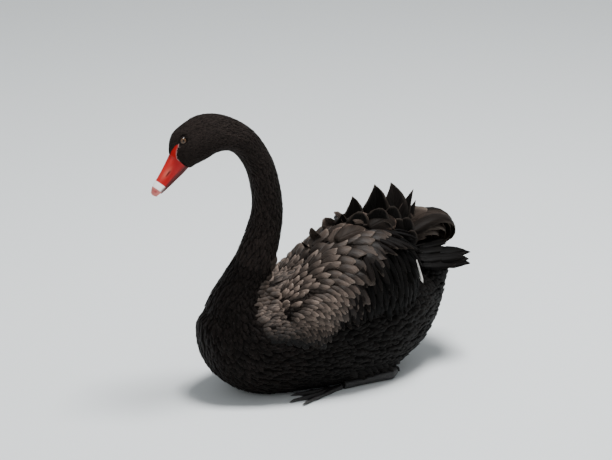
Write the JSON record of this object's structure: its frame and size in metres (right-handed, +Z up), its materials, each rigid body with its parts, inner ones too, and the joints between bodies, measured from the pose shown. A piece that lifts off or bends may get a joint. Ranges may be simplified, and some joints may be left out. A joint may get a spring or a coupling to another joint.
{
  "type": "black swan",
  "caption": "Life-size still model of a black swan resting on its belly, neck arched, bill down, wing feathers raised and curled, feet tucked beside the belly.",
  "frame": {"origin": "on the floor under the middle of the bird's bounding box", "axes": "the bill points to -X, the tail to +X, the bird's left side is at -Y, +Z is up"},
  "size_m": [0.6035, 0.2514, 0.4928],
  "materials": {
    "body_plumage": "soft black-brown body feathers",
    "head_plumage": "short velvety black feathers",
    "wing_plumage": "brown-black flight feathers with paler rims",
    "bill_horn": "red horn with a white band and pink nail",
    "bill_under_horn": "dark red horn",
    "eye_glass": "wet amber-brown eye with a black pupil",
    "leg_skin": "dark grey scaly skin"
  },
  "bodies": {
    "root": {"torso": "body_plumage", "neck_lower": "body_plumage", "neck_middle": "head_plumage", "neck_upper": "head_plumage", "head": "head_plumage", "bill_upper": "bill_horn", "bill_lower": "bill_under_horn", "eye_left": "eye_glass", "eye_right": "eye_glass", "wing_left": "wing_plumage", "wing_right": "wing_plumage", "tail": "wing_plumage", "leg_left": "leg_skin", "leg_right": "leg_skin", "foot_left": "leg_skin", "foot_right": "leg_skin"}
  },
  "joints": []
}
